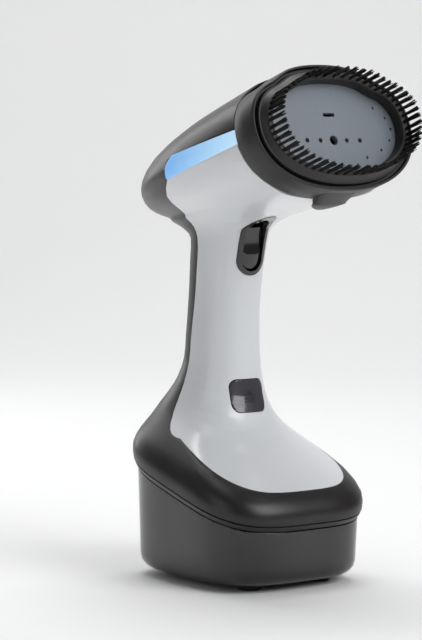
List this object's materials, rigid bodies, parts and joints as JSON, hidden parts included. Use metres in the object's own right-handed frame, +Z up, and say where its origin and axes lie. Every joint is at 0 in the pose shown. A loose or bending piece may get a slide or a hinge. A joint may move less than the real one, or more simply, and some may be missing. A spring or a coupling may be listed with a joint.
{
  "type": "garment steamer",
  "caption": "Handheld garment steamer: oval steam head with ribbed bristle brush, straight grip with a trigger, flared base and removable smoked water tank.",
  "frame": {"origin": "under the feet, in the middle of the whole object's box", "axes": "+Z up along the grip, +X towards the soleplate, +Y to the left of someone looking along +X"},
  "size_m": [0.1726, 0.1066, 0.2787],
  "materials": {
    "pearl_shell": "pearl light grey, semi-gloss",
    "dark_shell": "charcoal, satin",
    "light_strip": "translucent pale blue light guide",
    "gloss_black": "gloss black",
    "smoked_tank": "smoked translucent plastic, gloss",
    "ceramic_plate": "speckled blue-grey ceramic coating, satin",
    "bristle": "black nylon bristle",
    "dark_rubber": "matt black",
    "silicone": "translucent off-white",
    "inner_plastic": "natural grey, matt",
    "board": "green circuit board",
    "steel": "plain",
    "brass": "plain",
    "cast_metal": "as cast"
  },
  "bodies": {
    "body": {"front_cover": "pearl_shell", "rear_cover": "dark_shell", "base_housing": "dark_shell", "light_strip_left": "light_strip", "light_strip_right": "light_strip", "cover_screws": "steel", "cord_gland": "dark_rubber", "trigger_bezel": "gloss_black", "trigger_pin": "steel", "microswitch": "inner_plastic", "latch_pin": "steel", "base_floor": "inner_plastic", "inlet_spigot": "inner_plastic", "pump": "inner_plastic", "pump_bracket": "inner_plastic", "pump_screws": "steel", "suction_hose": "silicone", "pressure_hose": "silicone", "control_board": "board", "inner_frame": "inner_plastic", "terminal_block": "inner_plastic", "head_collar": "dark_shell", "soleplate": "ceramic_plate", "soleplate_gasket": "silicone", "boiler_block": "cast_metal", "inlet_nipple": "brass", "soleplate_screws": "steel", "heating_element": "steel", "heat_shield": "steel", "thermostat": "steel", "thermal_fuse": "inner_plastic", "lamp_boards": "board"},
    "trigger": {"steam_trigger": "gloss_black", "trigger_spring": "steel"},
    "release_button": {"tank_release_button": "gloss_black"},
    "latch": {"latch_lever": "inner_plastic", "latch_spring": "steel"},
    "tank": {"water_tank": "smoked_tank", "tank_cover": "smoked_tank", "tank_seal": "silicone", "intake_tube": "inner_plastic", "intake_filter": "inner_plastic", "tank_feet": "dark_rubber", "filler_pin": "steel"},
    "cap": {"filler_cap": "dark_rubber", "filler_seal": "silicone"},
    "brush": {"brush_frame": "dark_shell", "brush_bristles": "bristle"}
  },
  "joints": [
    {"name": "trigger_press", "type": "hinge", "parent": "body", "child": "trigger", "pos_m": [-0.015, 0, 0.1885], "axis": [0, 1, 0], "range_deg": [0, 8], "stiffness_Nm_per_rad": 0.06, "springref_deg": -8.59},
    {"name": "button_press", "type": "slide", "parent": "body", "child": "release_button", "axis": [-1, 0, 0], "range_m": [0, 0.003], "stiffness_N_per_m": 500, "springref_m": -0.002},
    {"name": "latch_turn", "type": "hinge", "parent": "body", "child": "latch", "pos_m": [0.011, 0, 0.062], "axis": [0, -1, 0], "range_deg": [0, 9.9], "stiffness_Nm_per_rad": 0.05, "springref_deg": -5.73},
    {"name": "tank_slide", "type": "slide", "parent": "tank", "child": "body", "axis": [0, 0, 1], "range_m": [0, 0.06]},
    {"name": "filler_cap_hinge", "type": "hinge", "parent": "tank", "child": "cap", "pos_m": [-0.07305, 0, 0.0242], "axis": [0, -1, 0], "range_deg": [0, 100]},
    {"name": "brush_slide", "type": "slide", "parent": "body", "child": "brush", "axis": [0.9483, 0, 0.3173], "range_m": [0, 0.035]}
  ],
  "couplings": [
    {"joint": "latch_turn", "follows": "button_press", "rad_per_m": 57}
  ]
}
